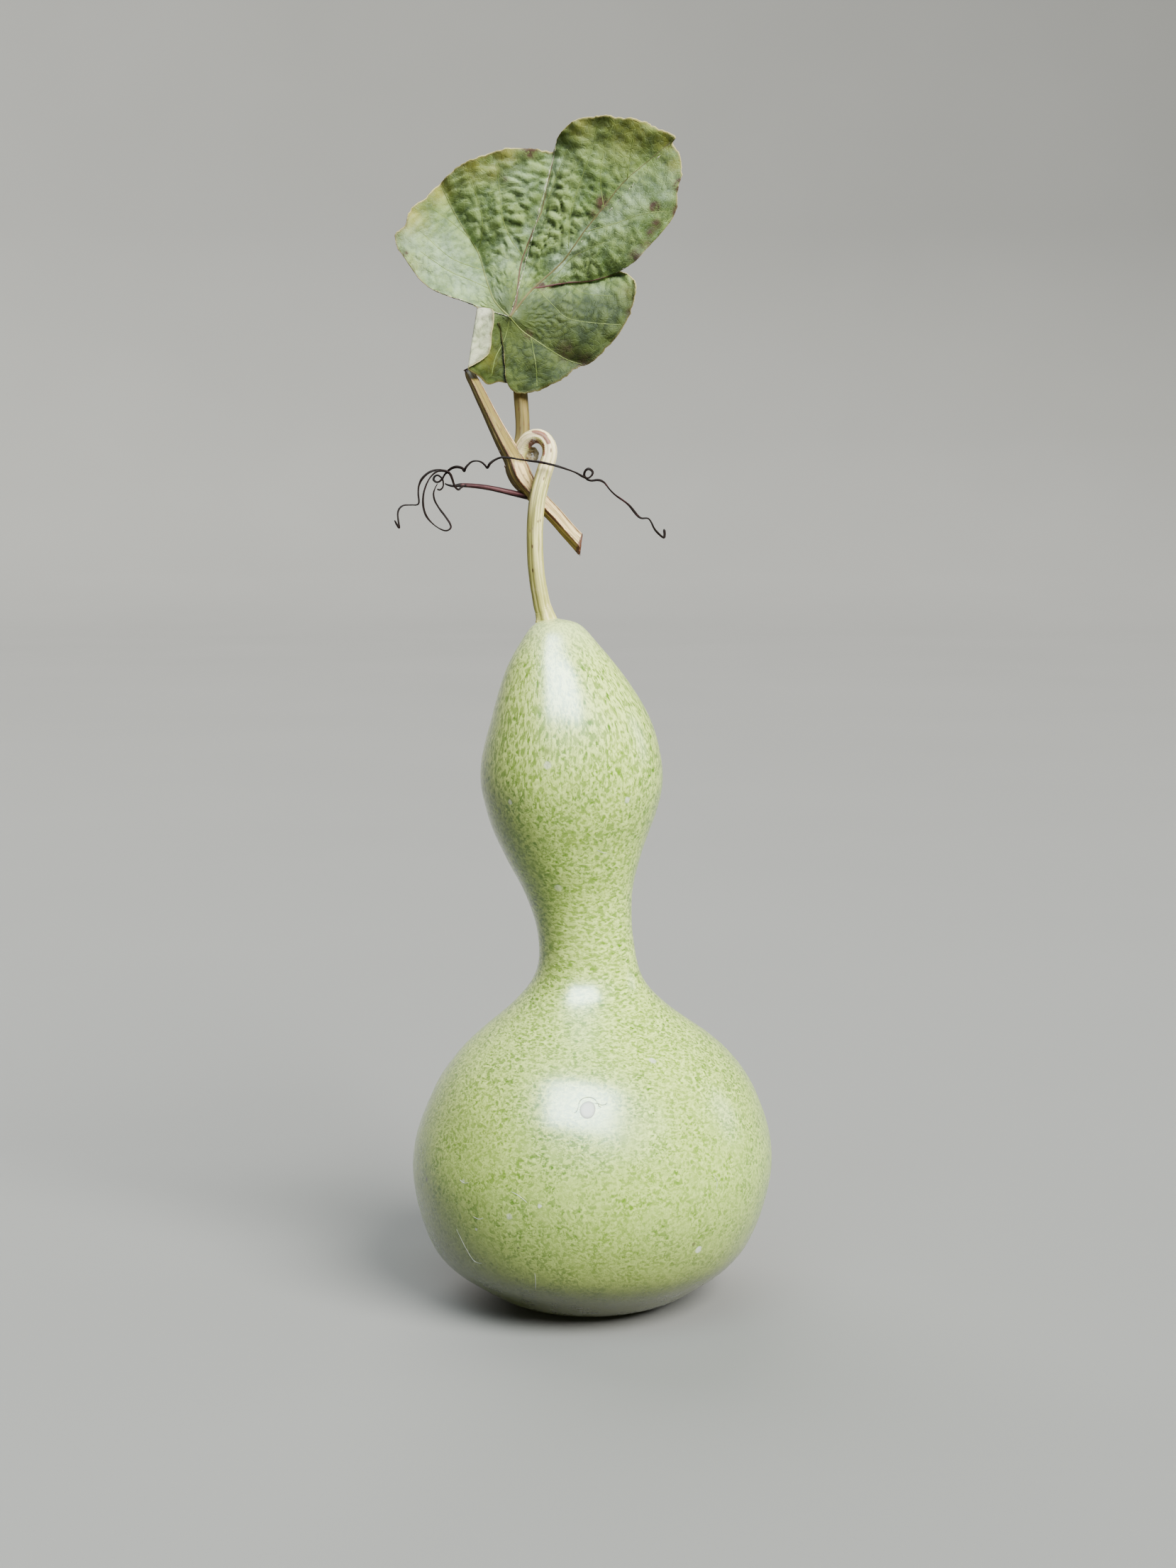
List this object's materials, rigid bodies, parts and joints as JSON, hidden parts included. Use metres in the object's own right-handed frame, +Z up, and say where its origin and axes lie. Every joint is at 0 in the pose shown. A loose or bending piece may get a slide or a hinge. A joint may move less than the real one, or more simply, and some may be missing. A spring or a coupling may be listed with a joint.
{
  "type": "bottle gourd with stalk, vine piece and leaf",
  "caption": "Fresh two-lobed bottle gourd standing on its base, picked with its curled stalk, a cut piece of vine, a lobed leaf and a coiling tendril.",
  "frame": {"origin": "middle of the flat that the fruit stands on", "axes": "+Z up along the fruit's height; -Y is the front, the side that the leaf's upper face looks to; +X to the right seen from the front"},
  "size_m": [0.186, 0.18, 0.5809],
  "materials": {
    "gourd_skin": "fresh waxy green rind with a net of paler cream-green marbling, satin gloss",
    "stem_skin": "ribbed straw-yellow and green stalk skin with rusty specks, matte",
    "vine_skin": "ribbed yellow-green vine with red-brown cut ends, matte",
    "leaf_face": "soft green leaf with pale mildew patches and a browned rim",
    "tendril_skin": "dried purple-brown wiry stalk, satin",
    "bud_felt": "downy beige-green bud, matte"
  },
  "bodies": {
    "root": {"gourd_fruit": "gourd_skin", "fruit_stalk": "stem_skin", "vine_stem": "vine_skin", "leaf_stalk": "stem_skin", "leaf_blade": "leaf_face", "tendril": "tendril_skin", "side_bud": "bud_felt"}
  },
  "joints": []
}
